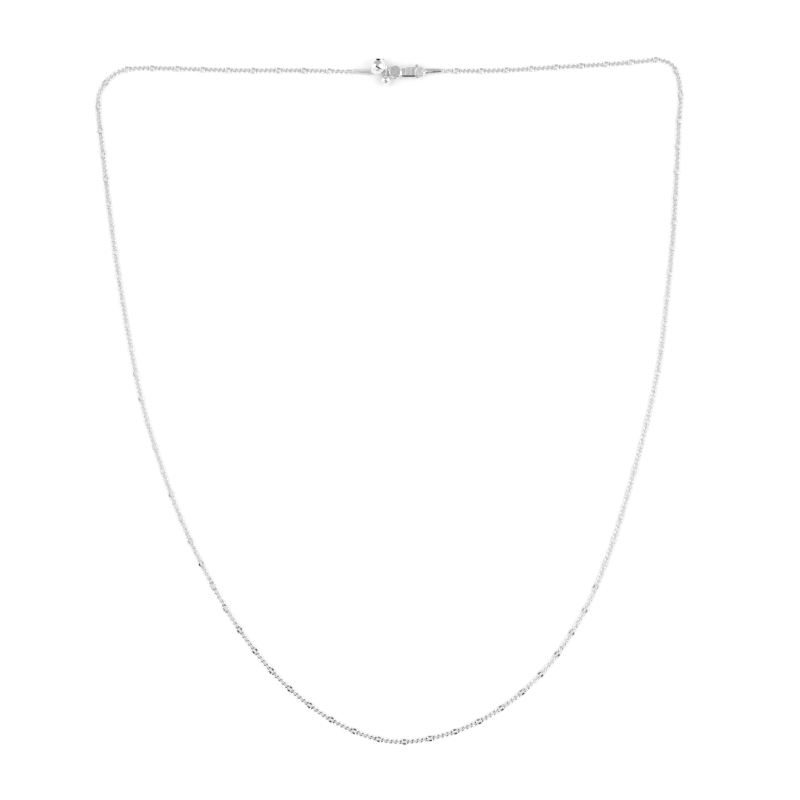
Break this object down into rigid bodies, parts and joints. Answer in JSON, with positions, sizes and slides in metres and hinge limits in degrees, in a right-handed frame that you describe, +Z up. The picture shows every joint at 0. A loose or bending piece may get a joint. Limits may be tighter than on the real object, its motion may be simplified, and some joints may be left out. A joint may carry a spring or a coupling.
{
  "type": "station curb chain necklace",
  "caption": "Fine curb chain necklace with longer station links and a ball lever clasp, lying flat in its worn loop.",
  "frame": {"origin": "centre of the bounding box, on the surface that the necklace lies on", "axes": "+Z up from the surface, +Y from the front of the necklace towards the clasp, +X to the right as seen from above"},
  "size_m": [0.1385, 0.1618, 0.0038],
  "materials": {
    "chain_silver": "polished silver with diamond-cut facets",
    "clasp_silver": "high polish silver",
    "tab_silver": "satin silver"
  },
  "bodies": {
    "necklace": {"chain_left": "chain_silver", "chain_right": "chain_silver", "left_end_tab": "tab_silver", "right_end_tab": "tab_silver", "clasp_body": "clasp_silver"},
    "lever": {"clasp_lever": "clasp_silver"}
  },
  "joints": [
    {"name": "lever_hinge", "type": "hinge", "parent": "necklace", "child": "lever", "pos_m": [0.0015, 0.0775, 0.00095], "axis": [0, 0, 1], "range_deg": [0, 35], "stiffness_Nm_per_rad": 0.0004, "springref_deg": -11.46}
  ]
}
